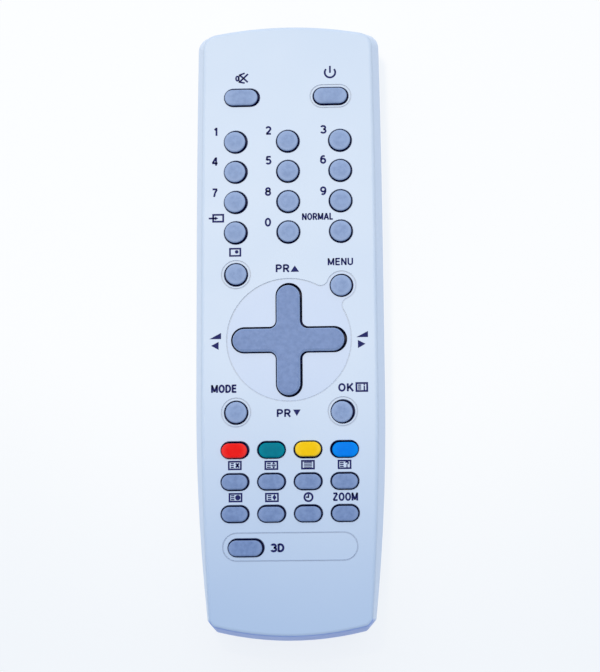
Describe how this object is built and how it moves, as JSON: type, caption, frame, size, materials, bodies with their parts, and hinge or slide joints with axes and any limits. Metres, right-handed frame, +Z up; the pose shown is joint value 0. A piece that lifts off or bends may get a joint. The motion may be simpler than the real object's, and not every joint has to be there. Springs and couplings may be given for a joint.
{
  "type": "television remote control",
  "caption": "Slim hand-held infrared remote control: two-part case with soft keys, a rocking cross key, colour keys and a sliding battery door.",
  "frame": {"origin": "middle of the flat back, under the centre of the case", "axes": "+Z up through the keys with the case on its back, +Y towards the infrared end, +X to the right of the keys"},
  "size_m": [0.0572, 0.1895, 0.0228],
  "materials": {
    "case_plastic": "satin pale blue-grey moulded plastic",
    "key_silicone": "satin grey-blue silicone",
    "cross_key_silicone": "satin grey-blue silicone",
    "red_key_silicone": "satin red silicone",
    "green_key_silicone": "satin green silicone",
    "yellow_key_silicone": "satin yellow silicone",
    "blue_key_silicone": "satin blue silicone",
    "mat_silicone": "matt grey-blue silicone",
    "board_laminate": "brown paper laminate with green lacquer",
    "carbon_ink": "matt black carbon ink",
    "infrared_window": "polished dark red plastic",
    "diode_resin": "clear blue-tinted resin",
    "chip_resin": "matt black moulding resin",
    "ceramic": "dipped orange ceramic",
    "capacitor_sleeve": "dark shrink sleeve",
    "resistor_lacquer": "beige lacquer",
    "terminal_steel": "nickel-plated strip",
    "spring_steel": "nickel-plated wire",
    "screw_steel": "zinc-plated steel",
    "cell_jacket": "printed shrink jacket"
  },
  "bodies": {
    "handset": {"battery_cell_left": "cell_jacket", "battery_cell_right": "cell_jacket", "board_screws": "screw_steel", "bottom_shell": "case_plastic", "bridge_terminal": "terminal_steel", "case_screws": "screw_steel", "ceramic_resonator": "ceramic", "circuit_board": "board_laminate", "contact_pads": "carbon_ink", "driver_chip": "chip_resin", "driver_transistor": "chip_resin", "electrolytic_capacitor": "capacitor_sleeve", "front_spring": "spring_steel", "ir_led": "diode_resin", "ir_window": "infrared_window", "keypad_mat": "mat_silicone", "negative_terminal": "terminal_steel", "positive_terminal": "terminal_steel", "rear_spring": "spring_steel", "resistors": "resistor_lacquer", "top_shell": "case_plastic"},
    "key_0": {"key_0": "key_silicone"},
    "key_1": {"key_1": "key_silicone"},
    "key_2": {"key_2": "key_silicone"},
    "key_3": {"key_3": "key_silicone"},
    "key_3d": {"key_3d": "key_silicone"},
    "key_4": {"key_4": "key_silicone"},
    "key_5": {"key_5": "key_silicone"},
    "key_6": {"key_6": "key_silicone"},
    "key_7": {"key_7": "key_silicone"},
    "key_8": {"key_8": "key_silicone"},
    "key_9": {"key_9": "key_silicone"},
    "key_blue": {"key_blue": "blue_key_silicone"},
    "key_clock": {"key_clock": "key_silicone"},
    "key_green": {"key_green": "green_key_silicone"},
    "key_input": {"key_input": "key_silicone"},
    "key_menu": {"key_menu": "key_silicone"},
    "key_mode": {"key_mode": "key_silicone"},
    "key_mute": {"key_mute": "key_silicone"},
    "key_normal": {"key_normal": "key_silicone"},
    "key_ok": {"key_ok": "key_silicone"},
    "key_picture": {"key_picture": "key_silicone"},
    "key_power": {"key_power": "key_silicone"},
    "key_red": {"key_red": "red_key_silicone"},
    "key_text": {"key_text": "key_silicone"},
    "key_text_cancel": {"key_text_cancel": "key_silicone"},
    "key_text_hold": {"key_text_hold": "key_silicone"},
    "key_text_mix": {"key_text_mix": "key_silicone"},
    "key_text_reveal": {"key_text_reveal": "key_silicone"},
    "key_text_size": {"key_text_size": "key_silicone"},
    "key_yellow": {"key_yellow": "yellow_key_silicone"},
    "key_zoom": {"key_zoom": "key_silicone"},
    "cross_pivot": {"cross_pivot": "mat_silicone"},
    "cross_key": {"cross_key": "cross_key_silicone"},
    "battery_door": {"battery_door": "case_plastic"}
  },
  "joints": [
    {"name": "slide_battery_door", "type": "slide", "parent": "handset", "child": "battery_door", "axis": [0, -1, 0], "range_m": [0, 0.06]},
    {"name": "rock_cross_up_down", "type": "hinge", "parent": "handset", "child": "cross_pivot", "pos_m": [-0.0002, -0.00593, 0.0194], "axis": [1, 0, 0], "range_deg": [-3, 3], "stiffness_Nm_per_rad": 0.2},
    {"name": "rock_cross_left_right", "type": "hinge", "parent": "cross_pivot", "child": "cross_key", "pos_m": [-0.0002, -0.00593, 0.0194], "axis": [0, 1, 0], "range_deg": [-3, 3], "stiffness_Nm_per_rad": 0.2},
    {"name": "press_0", "type": "slide", "parent": "handset", "child": "key_0", "axis": [0, 0, -1], "range_m": [0, 0.001], "stiffness_N_per_m": 600},
    {"name": "press_1", "type": "slide", "parent": "handset", "child": "key_1", "axis": [0, 0, -1], "range_m": [0, 0.001], "stiffness_N_per_m": 600},
    {"name": "press_2", "type": "slide", "parent": "handset", "child": "key_2", "axis": [0, 0, -1], "range_m": [0, 0.001], "stiffness_N_per_m": 600},
    {"name": "press_3", "type": "slide", "parent": "handset", "child": "key_3", "axis": [0, 0, -1], "range_m": [0, 0.001], "stiffness_N_per_m": 600},
    {"name": "press_3d", "type": "slide", "parent": "handset", "child": "key_3d", "axis": [0, 0, -1], "range_m": [0, 0.001], "stiffness_N_per_m": 600},
    {"name": "press_4", "type": "slide", "parent": "handset", "child": "key_4", "axis": [0, 0, -1], "range_m": [0, 0.001], "stiffness_N_per_m": 600},
    {"name": "press_5", "type": "slide", "parent": "handset", "child": "key_5", "axis": [0, 0, -1], "range_m": [0, 0.001], "stiffness_N_per_m": 600},
    {"name": "press_6", "type": "slide", "parent": "handset", "child": "key_6", "axis": [0, 0, -1], "range_m": [0, 0.001], "stiffness_N_per_m": 600},
    {"name": "press_7", "type": "slide", "parent": "handset", "child": "key_7", "axis": [0, 0, -1], "range_m": [0, 0.001], "stiffness_N_per_m": 600},
    {"name": "press_8", "type": "slide", "parent": "handset", "child": "key_8", "axis": [0, 0, -1], "range_m": [0, 0.001], "stiffness_N_per_m": 600},
    {"name": "press_9", "type": "slide", "parent": "handset", "child": "key_9", "axis": [0, 0, -1], "range_m": [0, 0.001], "stiffness_N_per_m": 600},
    {"name": "press_blue", "type": "slide", "parent": "handset", "child": "key_blue", "axis": [0, 0, -1], "range_m": [0, 0.001], "stiffness_N_per_m": 600},
    {"name": "press_clock", "type": "slide", "parent": "handset", "child": "key_clock", "axis": [0, 0, -1], "range_m": [0, 0.001], "stiffness_N_per_m": 600},
    {"name": "press_green", "type": "slide", "parent": "handset", "child": "key_green", "axis": [0, 0, -1], "range_m": [0, 0.001], "stiffness_N_per_m": 600},
    {"name": "press_input", "type": "slide", "parent": "handset", "child": "key_input", "axis": [0, 0, -1], "range_m": [0, 0.001], "stiffness_N_per_m": 600},
    {"name": "press_menu", "type": "slide", "parent": "handset", "child": "key_menu", "axis": [0, 0, -1], "range_m": [0, 0.001], "stiffness_N_per_m": 600},
    {"name": "press_mode", "type": "slide", "parent": "handset", "child": "key_mode", "axis": [0, 0, -1], "range_m": [0, 0.001], "stiffness_N_per_m": 600},
    {"name": "press_mute", "type": "slide", "parent": "handset", "child": "key_mute", "axis": [0, 0, -1], "range_m": [0, 0.001], "stiffness_N_per_m": 600},
    {"name": "press_normal", "type": "slide", "parent": "handset", "child": "key_normal", "axis": [0, 0, -1], "range_m": [0, 0.001], "stiffness_N_per_m": 600},
    {"name": "press_ok", "type": "slide", "parent": "handset", "child": "key_ok", "axis": [0, 0, -1], "range_m": [0, 0.001], "stiffness_N_per_m": 600},
    {"name": "press_picture", "type": "slide", "parent": "handset", "child": "key_picture", "axis": [0, 0, -1], "range_m": [0, 0.001], "stiffness_N_per_m": 600},
    {"name": "press_power", "type": "slide", "parent": "handset", "child": "key_power", "axis": [0, 0, -1], "range_m": [0, 0.001], "stiffness_N_per_m": 600},
    {"name": "press_red", "type": "slide", "parent": "handset", "child": "key_red", "axis": [0, 0, -1], "range_m": [0, 0.001], "stiffness_N_per_m": 600},
    {"name": "press_text", "type": "slide", "parent": "handset", "child": "key_text", "axis": [0, 0, -1], "range_m": [0, 0.001], "stiffness_N_per_m": 600},
    {"name": "press_text_cancel", "type": "slide", "parent": "handset", "child": "key_text_cancel", "axis": [0, 0, -1], "range_m": [0, 0.001], "stiffness_N_per_m": 600},
    {"name": "press_text_hold", "type": "slide", "parent": "handset", "child": "key_text_hold", "axis": [0, 0, -1], "range_m": [0, 0.001], "stiffness_N_per_m": 600},
    {"name": "press_text_mix", "type": "slide", "parent": "handset", "child": "key_text_mix", "axis": [0, 0, -1], "range_m": [0, 0.001], "stiffness_N_per_m": 600},
    {"name": "press_text_reveal", "type": "slide", "parent": "handset", "child": "key_text_reveal", "axis": [0, 0, -1], "range_m": [0, 0.001], "stiffness_N_per_m": 600},
    {"name": "press_text_size", "type": "slide", "parent": "handset", "child": "key_text_size", "axis": [0, 0, -1], "range_m": [0, 0.001], "stiffness_N_per_m": 600},
    {"name": "press_yellow", "type": "slide", "parent": "handset", "child": "key_yellow", "axis": [0, 0, -1], "range_m": [0, 0.001], "stiffness_N_per_m": 600},
    {"name": "press_zoom", "type": "slide", "parent": "handset", "child": "key_zoom", "axis": [0, 0, -1], "range_m": [0, 0.001], "stiffness_N_per_m": 600}
  ]
}
